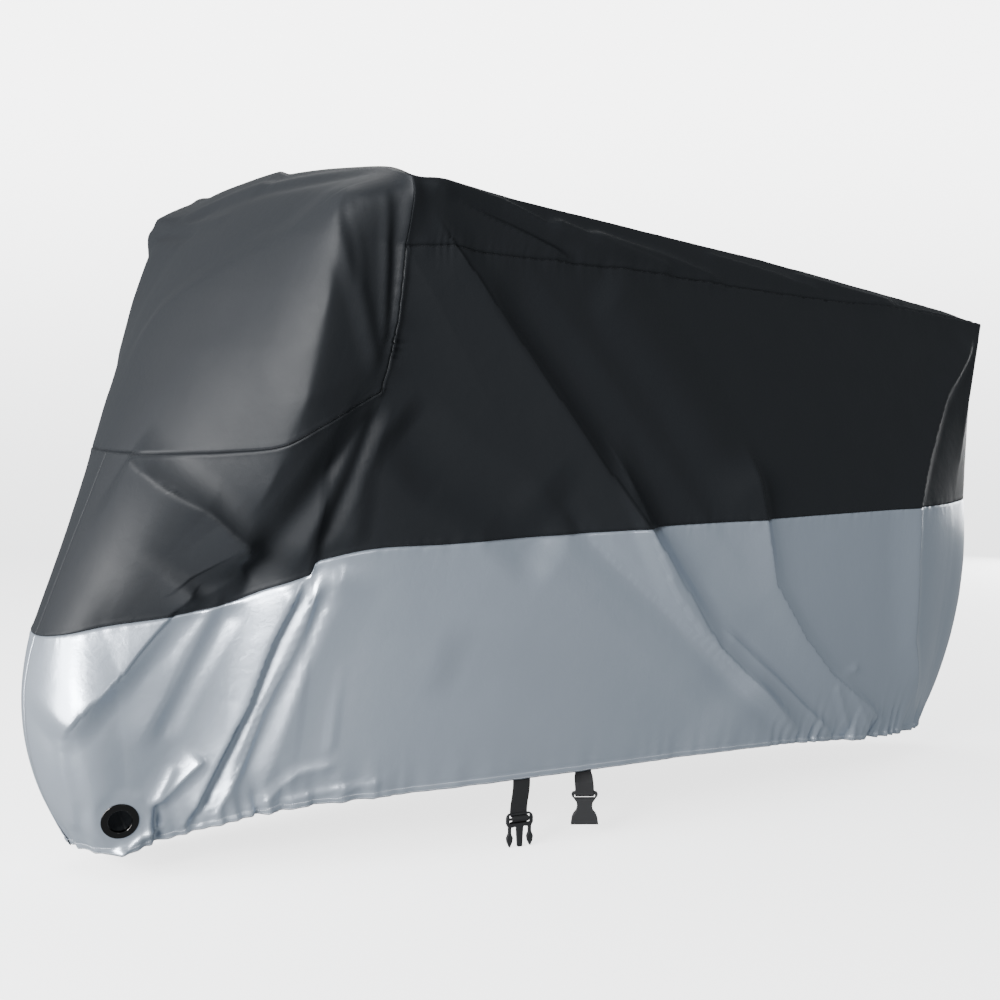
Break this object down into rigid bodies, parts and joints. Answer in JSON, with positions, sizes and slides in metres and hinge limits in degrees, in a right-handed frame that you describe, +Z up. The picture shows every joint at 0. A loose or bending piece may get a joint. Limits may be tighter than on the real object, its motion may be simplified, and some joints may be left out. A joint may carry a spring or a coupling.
{
  "type": "motorcycle cover",
  "caption": "Fitted two-tone motorcycle cover, hollow and draped as in use, with a level hem, lock eyelets at the front and a side-release buckle on short webbing ends.",
  "frame": {"origin": "point on the middle plane where the underside of the top strip rests on what it covers, 1.18 m behind the nose", "axes": "+X towards the tail, +Y towards the cover's right side, +Z up"},
  "size_m": [2.3599, 0.9602, 1.2886],
  "materials": {
    "black_cloth": "coated polyester, soft sheen",
    "silver_cloth": "silver-coated polyester, satin",
    "eyelet_metal": "gloss black",
    "webbing": "ribbed polypropylene webbing",
    "buckle_plastic": "moulded, matt"
  },
  "bodies": {
    "root": {"front_hood": "black_cloth", "top_strip": "black_cloth", "side_left": "black_cloth", "side_right": "black_cloth", "skirt_left": "silver_cloth", "skirt_right": "silver_cloth", "eyelet_strip_left": "silver_cloth", "eyelet_strip_right": "silver_cloth", "eyelet_left": "eyelet_metal", "eyelet_right": "eyelet_metal", "strap_plug_side": "webbing", "strap_socket_side": "webbing", "buckle_plug": "buckle_plastic", "buckle_socket": "buckle_plastic"}
  },
  "joints": []
}
